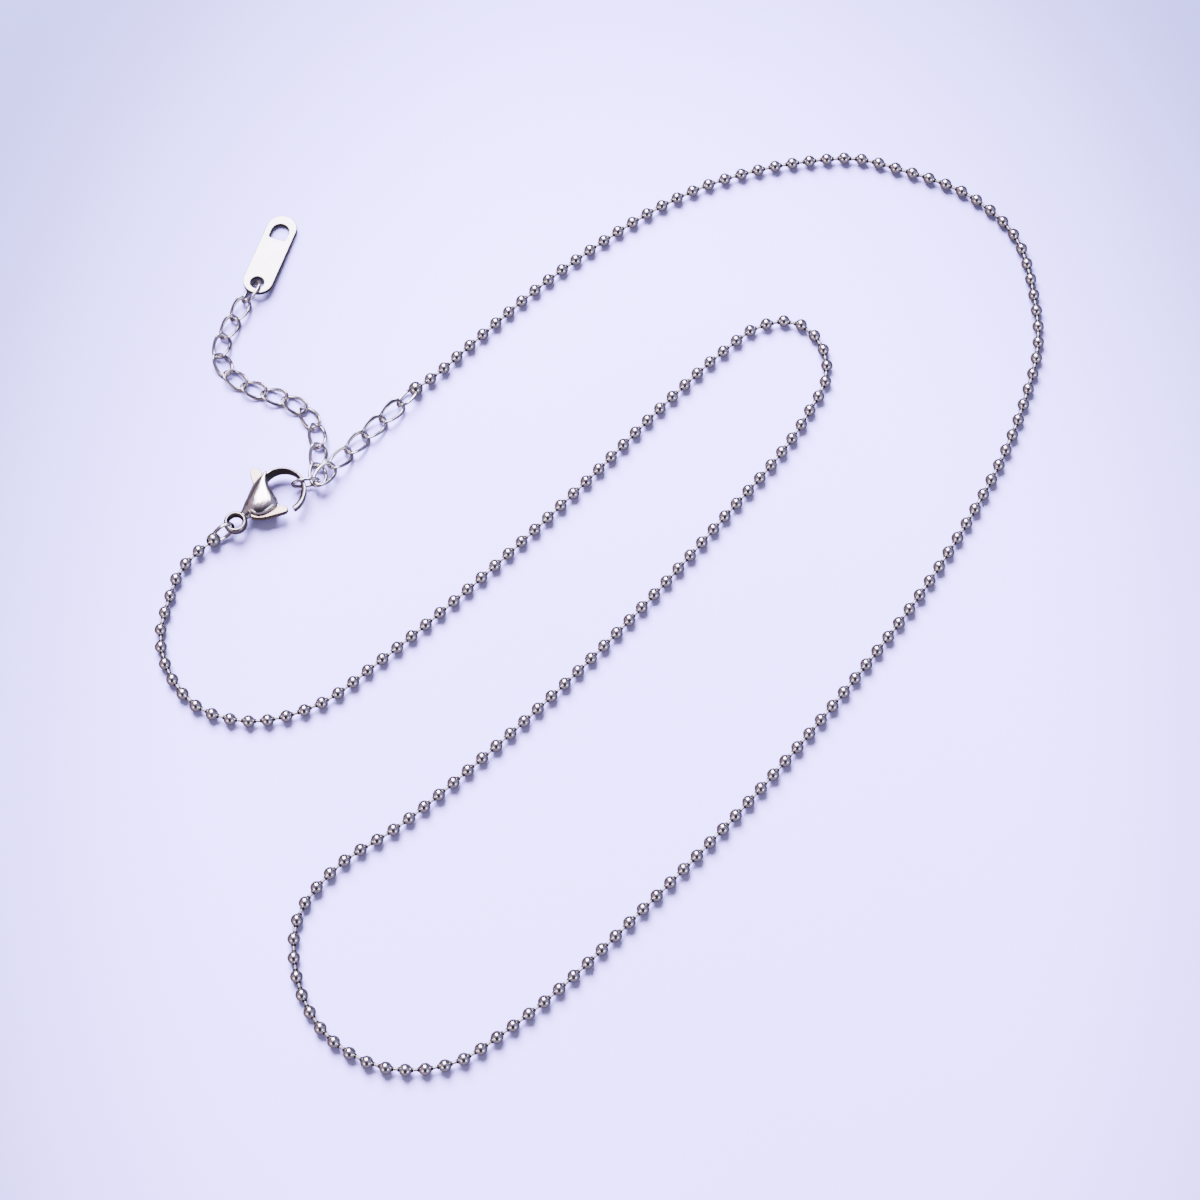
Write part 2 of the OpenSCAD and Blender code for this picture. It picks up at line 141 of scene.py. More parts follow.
# Uncoated lavender card: fully matt and faintly cloudy. Palest round its middle and of a deeper tone further out:
# a painted pool of light. "stretch" makes the pale part an upright oval. Its tone turns from "paleTo" to "outerFrom".
card = {"half": 900, "below": 0.01, "pale": "#b39df8", "deep": "#ac97f5", "outer": "#5e5a8c", "cloud": 60,
        "roughness": 0.95, "sheen": 0.1, "stretch": (1.35, 0.85, 0), "middle": (5, -26, 0), "paleTo": 60,
        "outerFrom": 150}
lavenderCard = bpy.data.materials.new("matteLavenderCard")
lavenderCard.use_nodes = True
tree = lavenderCard.node_tree
tree.nodes.clear()
spot = addNode(tree, "ShaderNodeTexCoord")
cloud = addNode(tree, "ShaderNodeTexNoise", {"Scale": 1 / (card["cloud"] * mm), "Detail": 2.0},
                {"Vector": spot.outputs["Object"]})
tone = addNode(tree, "ShaderNodeMix", {"data_type": "RGBA", 6: srgb(card["pale"]), 7: srgb(card["deep"])},
               {0: cloud.outputs["Fac"]})
stretched = addNode(tree, "ShaderNodeVectorMath", {"operation": "MULTIPLY", 1: card["stretch"]},
                    {0: spot.outputs["Object"]})
away = addNode(tree, "ShaderNodeVectorMath", {"operation": "DISTANCE", 1: [c * mm for c in card["middle"]]},
               {0: stretched.outputs["Vector"]})
# painted falloff of light: the card's colour darkens from its pale middle outwards
edges = addNode(tree, "ShaderNodeMapRange", {"interpolation_type": "SMOOTHSTEP", "From Min": card["paleTo"] * mm,
                                             "From Max": card["outerFrom"] * mm}, {"Value": away.outputs["Value"]})
whole = addNode(tree, "ShaderNodeMix", {"data_type": "RGBA", 7: srgb(card["outer"])},
                {0: edges.outputs["Result"], 6: tone.outputs[2]})
matt = addNode(tree, "ShaderNodeBsdfPrincipled", {"Roughness": card["roughness"], "Specular IOR Level": card["sheen"]},
               {"Base Color": whole.outputs[2]})
addNode(tree, "ShaderNodeOutputMaterial", links={"Surface": matt.outputs["BSDF"]})
bpy.ops.mesh.primitive_plane_add(size=2 * card["half"] * mm, location=(0, 0, cadBox[0][2] - card["below"] * mm))
floor = bpy.context.object
floor.name = "floor"
floor.data.materials.append(lavenderCard)
floor.visible_glossy = False   # the steel mirrors the room, and its lower half stays dark as in the photograph


# ---- materials
# Stainless steel 304 and 316. A finish has two tones in patches, a roughness for each in "shine", soft waves and a
# grain of fine scratches. Sizes are in millimetres; "grain" is a scratch's size along X, Y and Z.
steels = {
    # tumbled balls: a mirror with a soft waviness from the tumbling stones
    "tumbledSteelBall": {"pale": "#dcd6dd", "deep": "#c6c0ca", "shine": (0.07, 0.16), "patch": 0.9,
                         "wave": 0.5, "waveRise": 0.006, "grain": (0.05, 0.05, 0.05), "grainRise": 0.0004},
    # bright drawn wire: fine lines left by the die make it a little duller
    "drawnSteelWire": {"pale": "#cac5cc", "deep": "#a8a2ac", "shine": (0.34, 0.46), "patch": 0.6,
                       "wave": 0.4, "waveRise": 0.003, "grain": (0.05, 0.05, 0.05), "grainRise": 0.0006},
    # pin ends and collars: a dark finish, painted shade where they sit in the balls' holes
    "holeShadeSteel": {"pale": "#4a4346", "deep": "#2c272a", "shine": (0.3, 0.45), "patch": 0.3,
                        "wave": 0.3, "waveRise": 0.003, "grain": (0.05, 0.05, 0.05), "grainRise": 0.0006},
    # pressed cup: thin sheet with a satin bloom where the die stretched it
    "pressedSteelCup": {"pale": "#d6d2d4", "deep": "#b4afb6", "shine": (0.1, 0.22), "patch": 0.5,
                        "wave": 0.5, "waveRise": 0.008, "grain": (0.04, 0.04, 0.04), "grainRise": 0.0008},
    # lost-wax casting buffed by hand: a deep mirror that rolls gently, with faint buffing lines
    "buffedCastSteel": {"pale": "#e2dadd", "deep": "#cbc3c9", "shine": (0.14, 0.22), "patch": 1.4,
                        "wave": 1.1, "waveRise": 0.003, "grain": (0.5, 0.04, 0.04), "grainRise": 0.0002},
    # the same casting on the claw and the eye: rougher, and darker as painted shade
    "shadedDullCastSteel": {"pale": "#a89fa6", "deep": "#857d85", "shine": (0.18, 0.28), "patch": 0.8,
                        "wave": 0.8, "waveRise": 0.006, "grain": (0.05, 0.05, 0.05), "grainRise": 0.0006},
    # the same casting inside its rings: rougher where no buffing wheel reaches, and darker as painted shade
    "shadedRawCastSteel": {"pale": "#5d5354", "deep": "#3d3538", "shine": (0.34, 0.5), "patch": 0.5,
                     "wave": 0.5, "waveRise": 0.01, "grain": (0.06, 0.06, 0.06), "grainRise": 0.001},
    # stamped sheet: flat, rolled lines along its length, tumbled edges
    "stampedSteelPlate": {"pale": "#bdb6ba", "deep": "#a49ea4", "shine": (0.2, 0.34), "patch": 1.8,
                          "wave": 1.6, "waveRise": 0.012, "grain": (1.2, 0.05, 0.05), "grainRise": 0.0006},
    # the plate's sheared sides and hole walls: duller, and darker as painted shade
    "shadedShearedEdge": {"pale": "#6b6467", "deep": "#474145", "shine": (0.3, 0.45), "patch": 0.4,
                         "wave": 0.4, "waveRise": 0.004, "grain": (0.05, 0.05, 0.4), "grainRise": 0.0008},
    # the lever is stamped too; its darker, pinker tone is painted shade with a painted pink reflection
    "shadedPinkSteelLever": {"pale": "#a8968f", "deep": "#93817a", "shine": (0.2, 0.34), "patch": 1.2,
                          "wave": 1.2, "waveRise": 0.012, "grain": (0.05, 0.9, 0.05), "grainRise": 0.0008},
    # curb links rolled and polished: bright, with small dents where they rub
    "rolledSteelLink": {"pale": "#dcd6dd", "deep": "#b2acb5", "shine": (0.1, 0.2), "patch": 0.7,
                        "wave": 0.6, "waveRise": 0.008, "grain": (0.05, 0.05, 0.05), "grainRise": 0.0006},
}
steel = {}
for name, finish in steels.items():
    metal = bpy.data.materials.new(name)
    metal.use_nodes = True
    tree = metal.node_tree
    tree.nodes.clear()
    spot = addNode(tree, "ShaderNodeTexCoord")
    patch = addNode(tree, "ShaderNodeTexNoise", {"Scale": 1 / (finish["patch"] * mm), "Detail": 4.0, "Roughness": 0.55},
                    {"Vector": spot.outputs["Object"]})
    tone = addNode(tree, "ShaderNodeMix", {"data_type": "RGBA", 6: srgb(finish["deep"]), 7: srgb(finish["pale"])},
                   {0: patch.outputs["Fac"]})
    shine = addNode(tree, "ShaderNodeMapRange", {"From Min": 0.3, "From Max": 0.7, "To Min": finish["shine"][0],
                                                 "To Max": finish["shine"][1]}, {"Value": patch.outputs["Fac"]})
    wave = addNode(tree, "ShaderNodeTexNoise", {"Scale": 1 / (finish["wave"] * mm), "Detail": 1.0},
                   {"Vector": spot.outputs["Object"]})
    rolls = addNode(tree, "ShaderNodeBump", {"Strength": 1.0, "Distance": finish["waveRise"] * mm},
                    {"Height": wave.outputs["Fac"]})
    lines = addNode(tree, "ShaderNodeMapping", {"Scale": [1 / (size * mm) for size in finish["grain"]]},
                    {"Vector": spot.outputs["Object"]})
    grain = addNode(tree, "ShaderNodeTexNoise", {"Scale": 1.0, "Detail": 3.0}, {"Vector": lines.outputs["Vector"]})
    scratches = addNode(tree, "ShaderNodeBump", {"Strength": 0.6, "Distance": finish["grainRise"] * mm},
                        {"Height": grain.outputs["Fac"], "Normal": rolls.outputs["Normal"]})
    surface = addNode(tree, "ShaderNodeBsdfPrincipled", {"Metallic": 1.0},
                      {"Base Color": tone.outputs[2], "Roughness": shine.outputs["Result"],
                       "Normal": scratches.outputs["Normal"]})
    addNode(tree, "ShaderNodeOutputMaterial", links={"Surface": surface.outputs["BSDF"]})
    steel[name] = metal


# ---- small helpers for placing and finishing a piece
def nodeCorners(name):
    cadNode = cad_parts[name]
    flat = np.empty(len(cadNode.data.vertices) * 3)
    cadNode.data.vertices.foreach_get("co", flat)
    return flat.reshape(-1, 3) / mm


def selectOnly(*objects):
    bpy.ops.object.select_all(action="DESELECT")
    for one in objects:
        one.select_set(True)
    bpy.context.view_layer.objects.active = objects[0]


def joined(name, objects):
    selectOnly(*objects)
    bpy.ops.object.join()
    bpy.context.object.name = name
    return bpy.context.object


def applyModifiers(piece):
    selectOnly(piece)
    for modifier in list(piece.modifiers):
        bpy.ops.object.modifier_apply(modifier=modifier.name)


def toMesh(curve):
    selectOnly(curve)
    bpy.ops.object.convert(target="MESH")
    return bpy.context.object


def finishPiece(piece, name, material, nodes, body="root", smoothTo=40):
    piece.name = name
    piece.data.name = name
    piece.data.materials.clear()
    piece.data.materials.append(steel[material])
    selectOnly(piece)
    bpy.ops.object.transform_apply(location=True, rotation=True, scale=True)
    bpy.ops.object.shade_smooth_by_angle(angle=math.radians(smoothTo))
    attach(piece, body)
    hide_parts(*nodes)


def moreFinishes(piece, materials, marks):   # a face marked 1 gets the first of these finishes, and so on
    for material in materials:
        piece.data.materials.append(steel[material])
    piece.data.polygons.foreach_set("material_index", [int(mark) for mark in marks])


# A frame at a point, with X along a way and Z as near to up as it can be
def aimed(at, way, up=(0, 0, 1)):
    x = Vector(way).normalized()
    y = Vector(up).cross(x).normalized()
    z = x.cross(y)
    turn = Matrix((x, y, z)).transposed().to_4x4()
    return Matrix.Scale(mm, 4) @ Matrix.Translation(at) @ turn


# ---- modelling helpers
def pick(piece, test, kind="FACE"):   # selects faces or corners by place, and stays in edit mode
    bpy.ops.object.mode_set(mode="EDIT")
    bpy.ops.mesh.select_mode(type=kind)
    bpy.ops.mesh.select_all(action="DESELECT")
    bpy.ops.object.mode_set(mode="OBJECT")
    for item in (piece.data.polygons if kind == "FACE" else piece.data.vertices):
        item.select = test(item.center if kind == "FACE" else item.co)
    bpy.ops.object.mode_set(mode="EDIT")


def turnedRod(name, steps, sides):   # steps are (place along X, radius), drawn out ring by ring
    bpy.ops.object.select_all(action="DESELECT")
    bpy.ops.mesh.primitive_circle_add(vertices=sides, radius=steps[0][1], location=(0, 0, 0),
                                      rotation=(0, math.pi / 2, 0))
    rod = bpy.context.object
    rod.name = name
    bpy.ops.object.transform_apply(location=True, rotation=True, scale=True)
    bpy.ops.object.mode_set(mode="EDIT")
    bpy.ops.mesh.select_all(action="SELECT")
    bpy.ops.transform.translate(value=(steps[0][0], 0, 0))
    for (before, radius), (place, nextRadius) in zip(steps, steps[1:]):
        bpy.ops.mesh.extrude_region_move(TRANSFORM_OT_translate={"value": (place - before, 0, 0)})
        grow = nextRadius / radius
        bpy.ops.transform.resize(value=(1, grow, grow), center_override=(place, 0, 0))
    bpy.ops.mesh.select_all(action="SELECT")
    bpy.ops.mesh.normals_make_consistent(inside=False)
    bpy.ops.object.mode_set(mode="OBJECT")
    return rod


def copiesJoined(pattern, name, places):   # each copy has its own mesh, then all become one piece
    copies = []
    for place in places:
        mesh = pattern.data.copy()
        mesh.transform(place)
        copy = bpy.data.objects.new(name, mesh)
        bpy.context.collection.objects.link(copy)
        copies.append(copy)
    bpy.data.objects.remove(pattern)
    return joined(name, copies)


def wirePath(name, points, wire, strip):   # a wire, or a flat strip with round edges, bent through points
    bpy.ops.object.select_all(action="DESELECT")
    bpy.ops.curve.primitive_nurbs_path_add(location=(0, 0, 0))
    curve = bpy.context.object
    spline = curve.data.splines[0]
    spline.points.add(len(points) - len(spline.points))
    for point, at in zip(spline.points, points):
        point.co = (*at, 1)
    spline.use_endpoint_u = True
    spline.resolution_u = 4
    curve.data.bevel_depth = wire / 2
    curve.data.bevel_resolution = 3
    curve.data.extrude = strip / 2
    curve.data.use_fill_caps = True
    wireMesh = toMesh(curve)
    wireMesh.name = name
    return wireMesh


def plate(name, outlines, thick, edge):   # stamped from sheet: outline and holes, with rolled-over edges
    bpy.ops.object.select_all(action="DESELECT")
    bpy.ops.curve.primitive_bezier_circle_add(radius=1, location=(0, 0, 0))
    curve = bpy.context.object
    curve.data.dimensions = "2D"
    curve.data.splines.clear()
    for points, handle in outlines:
        spline = curve.data.splines.new("BEZIER")
        spline.bezier_points.add(len(points) - 1)
        for point, at in zip(spline.bezier_points, points):
            point.co = (at[0], at[1], 0)
            point.handle_left_type = point.handle_right_type = handle
        spline.use_cyclic_u = True
        spline.resolution_u = 6
    curve.data.fill_mode = "BOTH"
    curve.data.extrude = thick / 2 - edge
    curve.data.bevel_depth = edge
    curve.data.bevel_resolution = 2
    curve.data.offset = -edge
    made = toMesh(curve)
    made.name = name
    return made


def circlePoints(centre, radius, count, start=0, sweep=360):
    turns = [math.radians(start + sweep * k / count) for k in range(count + (0 if sweep == 360 else 1))]
    return [(centre[0] + radius * math.cos(t), centre[1] + radius * math.sin(t)) for t in turns]


# ---- ball chain
print("ball chain")
# Along a ball's axis, as shares of its radius: faces past "open" are the hole, and corners past "rim" are its edge.
# The edge is drawn in by "lip", along and across, and then the wall runs in to "bore". "first" is the clasp's cup.
ball = {"count": 213, "radius": 0.8, "sides": 14, "rings": 9, "open": 0.93, "rim": 0.9, "lip": (0.97, 0.82),
        "bore": 0.6, "first": (-51.01, 6.17, 0.98)}
# Pins: "wire" and "collar" are radii. A collar lies "from" to "to" off its ball's centre and tapers, the darker finish
# goes out to "headTo" as painted shade round the balls' holes, and the pin's end lies "end" off the centre, inside the
# ball.
pin = {"pitch": 2.39, "wire": 0.2, "collar": 0.33, "from": 0.68, "to": 0.93, "taper": 0.86, "shoulder": 0.03,
       "headTo": 0.98, "end": 0.5, "sides": 10}
# The balls' centres come from the solids themselves, put in order from the clasp's cup along the chain
corners = nodeCorners("ball_chain").reshape(ball["count"], -1, 3)
centres = (corners.min(axis=1) + corners.max(axis=1)) / 2
widest = np.abs(np.linalg.norm(corners - centres[:, None], axis=2).max(axis=1) - ball["radius"]).max()
print("ball centres found, widest error", round(float(widest), 3), "mm")
left = list(range(ball["count"]))
order = [left.pop(int(np.argmin(np.linalg.norm(centres[left] - np.array(ball["first"]), axis=1))))]
while left:
    order.append(left.pop(int(np.argmin(np.linalg.norm(centres[left] - centres[order[-1]], axis=1)))))
chain = [Vector(centres[k]) for k in order]
steps = [(b - a).length for a, b in zip(chain, chain[1:])]
print("ball spacing from", round(min(steps), 3), "to", round(max(steps), 3), "mm")

bpy.ops.object.select_all(action="DESELECT")
bpy.ops.mesh.primitive_uv_sphere_add(segments=ball["sides"], ring_count=ball["rings"], radius=ball["radius"],
                                     rotation=(0, math.pi / 2, 0))
steelBall = bpy.context.object
bpy.ops.object.transform_apply(location=True, rotation=True, scale=True)
pick(steelBall, lambda at: abs(at.x) > ball["open"] * ball["radius"])
bpy.ops.mesh.delete(type="FACE")
pick(steelBall, lambda at: abs(at.x) > ball["rim"] * ball["radius"], "VERT")   # the drawn-in lip round each hole
bpy.ops.mesh.extrude_region_move()
bpy.ops.transform.resize(value=(ball["lip"][0], ball["lip"][1], ball["lip"][1]), center_override=(0, 0, 0))
bpy.ops.mesh.extrude_region_move()
bpy.ops.transform.resize(value=(ball["bore"], 1, 1), center_override=(0, 0, 0))
bpy.ops.object.mode_set(mode="OBJECT")
ways = [chain[min(k + 1, len(chain) - 1)] - chain[max(k - 1, 0)] for k in range(len(chain))]
balls = copiesJoined(steelBall, "steelBalls", [aimed(at, way) for at, way in zip(chain, ways)])
finishPiece(balls, "chain_balls", "tumbledSteelBall", ["ball_chain"], smoothTo=50)

halfPin = pin["pitch"] / 2
collarFrom, collarTo, taper = halfPin - pin["from"], halfPin - pin["to"], pin["collar"] * pin["taper"]
neckAt = collarTo - pin["shoulder"]
threadPin = turnedRod("threadPin", [(pin["end"] - halfPin, pin["wire"]), (-collarFrom, pin["collar"]),
                                    (-collarTo, taper), (-neckAt, pin["wire"]), (neckAt, pin["wire"]),
                                    (collarTo, taper), (collarFrom, pin["collar"]),
                                    (halfPin - pin["end"], pin["wire"])], pin["sides"])
shadedHeads = [abs(face.center.x) > halfPin - pin["headTo"] for face in threadPin.data.polygons]
pins = copiesJoined(threadPin, "threadPins", [aimed((a + b) / 2, b - a) for a, b in zip(chain, chain[1:])])
finishPiece(pins, "chain_wires", "drawnSteelWire", ["chain_wire"], smoothTo=50)
# the pin's ends and collars take the dark finish: painted shade round the balls' holes
moreFinishes(pins, ["holeShadeSteel"], shadedHeads * (len(chain) - 1))


# ---- extender links
print("extender links")
# Each link takes its place, its length and width and its twist from its solid, whose wire is "cadWire" thick
link = {"count": 19, "wire": 0.46, "cadWire": 0.38, "lift": 0.05, "roundness": 12}
for number in range(1, link["count"] + 1):
    node = "extender_link_%02d" % number
    points = np.unique(nodeCorners(node).round(4), axis=0)
    middle = points.mean(axis=0)
    axes = np.linalg.eigh(np.cov((points - middle).T))[1]
    along, across = axes[:, 2], axes[:, 1]
    normal = np.cross(along, across)
    x, y, z = (points - middle) @ along, (points - middle) @ across, (points - middle) @ normal
    halfLong, halfWide = x.max() - link["cadWire"] / 2, y.max() - link["cadWire"] / 2
    curl = [float((z * x * y)[side].sum() / ((x * y) ** 2)[side].sum()) for side in (x < 0, x > 0)]
    bpy.ops.object.select_all(action="DESELECT")
    bpy.ops.curve.primitive_bezier_circle_add(radius=1, location=(0, 0, 0))
    oval = bpy.context.object
    oval.data.resolution_u = link["roundness"]
    oval.data.bevel_depth = link["wire"] / 2
    oval.data.bevel_resolution = 3
    bpy.ops.object.mode_set(mode="EDIT")
    bpy.ops.curve.select_all(action="SELECT")
    bpy.ops.transform.resize(value=(halfLong, halfWide, 1))
    bpy.ops.object.mode_set(mode="OBJECT")
    ovalLink = toMesh(oval)
    for corner in ovalLink.data.vertices:   # the twist of a curb link
        corner.co.z += curl[0 if corner.co.x < 0 else 1] * corner.co.x * corner.co.y
    turn = Matrix([[*row, 0] for row in np.array([along, across, normal]).T.tolist()] + [[0, 0, 0, 1]])
    onCard = Matrix.Translation(middle + np.array([0, 0, link["lift"]]))   # the thicker wire's underside stays on it
    ovalLink.data.transform(Matrix.Scale(mm, 4) @ onCard @ turn)
    finishPiece(ovalLink, "link_%02d" % number, "rolledSteelLink", [node], smoothTo=60)


# ---- end cups
print("end cups")
# The cup is a thin ball with a slot for the chain's first pin. Its loop is an oval, open inside the cup.
cup = {"radius": 0.94, "wall": 0.1, "slot": 0.8, "slotFrom": 0.42, "edge": 0.03, "sides": 40, "rings": 24,
       "loopWide": 2.5, "loopWire": 0.42, "endTurn": 135, "loopPoints": 25}


def endCup(name, node, at, slotWay, tip, roll, wire, strip):
    bpy.ops.object.select_all(action="DESELECT")
    bpy.ops.mesh.primitive_uv_sphere_add(segments=cup["sides"], ring_count=cup["rings"], radius=cup["radius"],
                                         rotation=(0, math.pi / 2, 0))
    shell = bpy.context.object
    bpy.ops.object.transform_apply(location=True, rotation=True, scale=True)
    wall = shell.modifiers.new("wall", "SOLIDIFY")
    wall.thickness = cup["wall"]
    wall.offset = -1
    applyModifiers(shell)
    bpy.ops.object.select_all(action="DESELECT")
    reach = 2 * cup["radius"]
    bpy.ops.mesh.primitive_cube_add(size=1, location=(cup["slotFrom"] + reach / 2, 0, reach / 2 - cup["slot"] / 2),
                                    scale=(reach, cup["slot"], reach))
    cutter = bpy.context.object
    slotCut = shell.modifiers.new("slot", "BOOLEAN")
    slotCut.object, slotCut.operation = cutter, "DIFFERENCE"
    rim = shell.modifiers.new("rim", "BEVEL")
    rim.width, rim.segments, rim.limit_method, rim.angle_limit = cup["edge"], 2, "ANGLE", math.radians(50)
    applyModifiers(shell)
    bpy.data.objects.remove(cutter)
    shell.data.transform(aimed(at, (slotWay[0], slotWay[1], 0)))
    reachOut = (Vector(tip) - Vector(at)).length
    halfWide = (cup["loopWide"] - cup["loopWire"]) / 2
    endTurn = math.radians(cup["endTurn"])
    grip = cup["radius"] - cup["wall"] / 2
    foot = math.sqrt(grip ** 2 - (halfWide * math.sin(endTurn)) ** 2)
    halfLong = (reachOut - foot) / (1 - math.cos(endTurn))
    loop = wirePath(name + "_loop", [(reachOut - halfLong + halfLong * math.cos(t), halfWide * math.sin(t), 0)
                                     for t in np.linspace(-endTurn, endTurn, cup["loopPoints"])], wire, strip)
    loop.data.transform(aimed(at, Vector(tip) - Vector(at)) @ Matrix.Rotation(math.radians(roll), 4, "X"))
    cupPiece = joined(name, [shell, loop])
    finishPiece(cupPiece, name, "pressedSteelCup", [node], smoothTo=35)


# The clasp's loop is a flat strip, turned by "roll" to go through the eye. Its tip lies "off" the eye's centre.
claspLoop = {"eye": (-48.19, 8.32), "off": 0.53, "high": 1.8, "roll": 70, "wire": 0.38, "strip": 0.18}
tipWay = (Vector(ball["first"][:2]) - Vector(claspLoop["eye"])).normalized() * claspLoop["off"]
claspTip = (claspLoop["eye"][0] + tipWay.x, claspLoop["eye"][1] + tipWay.y, claspLoop["high"])
endCup("cup_clasp", "end_cup_clasp", chain[0], ways[0], claspTip, claspLoop["roll"], claspLoop["wire"],
       claspLoop["strip"])
extenderLoop = {"cup": (-25.46, 28.02), "way": (-0.66, -0.75), "reach": 3.3, "high": 0.9, "roll": 34, "wire": 0.4,
                "strip": 0}
loopWay = Vector(extenderLoop["way"]).normalized() * extenderLoop["reach"]
extenderTip = (extenderLoop["cup"][0] + loopWay.x, extenderLoop["cup"][1] + loopWay.y, extenderLoop["high"])
endCup("cup_extender", "end_cup_extender", chain[-1], -ways[-1], extenderTip, extenderLoop["roll"],
       extenderLoop["wire"], extenderLoop["strip"])


# ---- tag
print("tag")
# The plate leans on its far end, with the round hole held up by the first link. "dee" is the arch-shaped hole.
# Faces that look up by less than "sheared" are the sheared sides and hole walls, which take a darker finish as painted
# shade.
tag = {"hole": (-47.06, 43.77, 1.0), "turn": 71.6, "long": 12.8, "wide": 4.1, "thick": 0.6, "edge": 0.09,
       "holeRadius": 0.925, "holeFromEnd": 1.65, "deeRadius": 1.19, "deeFlat": 1.25, "deeCorner": 0.28,
       "deeFromEnd": 2.6, "endPoints": 16, "holePoints": 28, "deePoints": 18, "cornerPoints": 5, "sheared": 0.55}
radius = tag["wide"] / 2
run = tag["long"] / 2 - radius
holeX, deeX = tag["holeFromEnd"] - tag["long"] / 2, tag["long"] / 2 - tag["deeFromEnd"]
rim = (circlePoints((run, 0), radius, tag["endPoints"], -90, 180)
       + circlePoints((-run, 0), radius, tag["endPoints"], 90, 180))
cornerAt = (deeX - tag["deeFlat"] + tag["deeCorner"], tag["deeRadius"] - tag["deeCorner"])
dee = (circlePoints((deeX, 0), tag["deeRadius"], tag["deePoints"], -90, 180)
       + circlePoints(cornerAt, tag["deeCorner"], tag["cornerPoints"], 90, 90)
       + circlePoints((cornerAt[0], -cornerAt[1]), tag["deeCorner"], tag["cornerPoints"], 180, 90))
roundHole = circlePoints((holeX, 0), tag["holeRadius"], tag["holePoints"])
tagPlate = plate("tagPlate", [(rim, "VECTOR"), (roundHole, "AUTO"), (dee, "VECTOR")], tag["thick"], tag["edge"])
lean = math.asin((tag["hole"][2] - tag["thick"] / 2) / (tag["long"] / 2 - holeX))
tagPlate.data.transform(Matrix.Scale(mm, 4) @ Matrix.Translation(tag["hole"])
                        @ Matrix.Rotation(math.radians(tag["turn"]), 4, "Z") @ Matrix.Rotation(lean, 4, "Y")
                        @ Matrix.Translation((-holeX, 0, 0)))
finishPiece(tagPlate, "tag_plate", "stampedSteelPlate", ["tag"], smoothTo=30)
# the sides and hole walls take the darker finish: painted shade
moreFinishes(tagPlate, ["shadedShearedEdge"], [face.normal.z < tag["sheared"] for face in tagPlate.data.polygons])


# ---- clasp
print("clasp")
# In the clasp's own frame the eye's centre is at 0, the claw is towards X, and the clasp's middle height is at Z 0
clasp = {"turn": 42, "middle": 1.6, "eyeRadius": 1.2, "eyeWire": 0.36, "eyeTall": 1.85, "eyeSides": (64, 16),
         "voxel": 0.045, "smoothing": 8}
claspPlace = (Matrix.Scale(mm, 4) @ Matrix.Translation((*claspLoop["eye"], clasp["middle"]))
              @ Matrix.Rotation(math.radians(clasp["turn"]), 4, "Z"))


def ringLoft(name, rings, sides):   # rings are (centre, across, half width, half height, lean, fullness)
    bpy.ops.object.select_all(action="DESELECT")
    made = []
    for centre, across, halfWide, halfTall, ridge, full in rings:
        bpy.ops.mesh.primitive_circle_add(vertices=sides, radius=1, location=(0, 0, 0))
        one = bpy.context.object
        side = Vector((*across, 0)).normalized()
        for corner in one.data.vertices:
            cosine, sine = corner.co.x, corner.co.y
            wide = math.copysign(abs(cosine) ** full, cosine) * halfWide - ridge * abs(sine) ** 2 * halfWide
            tall = math.copysign(abs(sine) ** full, sine) * halfTall
            corner.co = Vector((*centre, 0)) + side * wide + Vector((0, 0, tall))
        made.append(one)
    loft = joined(name, made)
    bpy.ops.object.mode_set(mode="EDIT")
    bpy.ops.mesh.select_mode(type="EDGE")
    bpy.ops.mesh.select_all(action="SELECT")
    bpy.ops.mesh.bridge_edge_loops()
    bpy.ops.mesh.select_mode(type="VERT")
    bpy.ops.mesh.select_all(action="SELECT")
    bpy.ops.mesh.fill_holes(sides=0)
    bpy.ops.mesh.normals_make_consistent(inside=False)
    bpy.ops.object.mode_set(mode="OBJECT")
    return loft


def eased(u):   # 0 up to 0, 1 from 1 on, and smooth between
    u = min(1, max(0, u))
    return u * u * (3 - 2 * u)


def smoothRows(rows, count):   # more rows between the given ones, on smooth curves
    known = np.array(rows)
    slopes = np.gradient(known, axis=0)
    made = []
    for mark in np.linspace(0, len(rows) - 1, count):
        k = min(int(mark), len(rows) - 2)
        u = mark - k
        made.append((2 * u ** 3 - 3 * u ** 2 + 1) * known[k] + (u ** 3 - 2 * u ** 2 + u) * slopes[k]
                    + (3 * u ** 2 - 2 * u ** 3) * known[k + 1] + (u ** 3 - u ** 2) * slopes[k + 1])
    return made


# The dome is an egg whose big end lies towards the eye's side and whose ridge leans towards the claw.
# Rows: along its axis, middle, half width, half height, lean of the ridge, roundness (1 is an ellipse)
dome = {"foot": (3.45, -1.15), "along": (0.689, 0.725), "across": (-0.725, 0.689), "count": 44, "sides": 32, "rows": [
    (-0.62, 0.42, 0.35, 0.85, 0.0, 0.8), (-0.42, 0.38, 0.98, 1.10, 0.0, 0.74), (-0.05, 0.34, 1.52, 1.30, 0.0, 0.7),
    (0.4, 0.22, 1.92, 1.44, 0.02, 0.68), (0.95, 0.05, 2.16, 1.53, 0.05, 0.7), (1.6, 0.08, 2.06, 1.58, 0.1, 0.74),
    (2.3, 0.2, 1.76, 1.58, 0.2, 0.8), (3.0, 0.34, 1.4, 1.55, 0.3, 0.84), (3.7, 0.42, 1.05, 1.49, 0.42, 0.88),
    (4.4, 0.32, 0.74, 1.4, 0.5, 0.9), (5.0, 0.05, 0.46, 1.29, 0.42, 0.9), (5.45, -0.2, 0.2, 1.2, 0.2, 0.9)]}
domeRings = []
for along, middle, halfWide, halfTall, ridge, full in smoothRows(dome["rows"], dome["count"]):
    centre = [dome["foot"][k] + along * dome["along"][k] + middle * dome["across"][k] for k in (0, 1)]
    domeRings.append((centre, dome["across"], halfWide, halfTall, ridge, full))
domeLoft = ringLoft("dome", domeRings, dome["sides"])

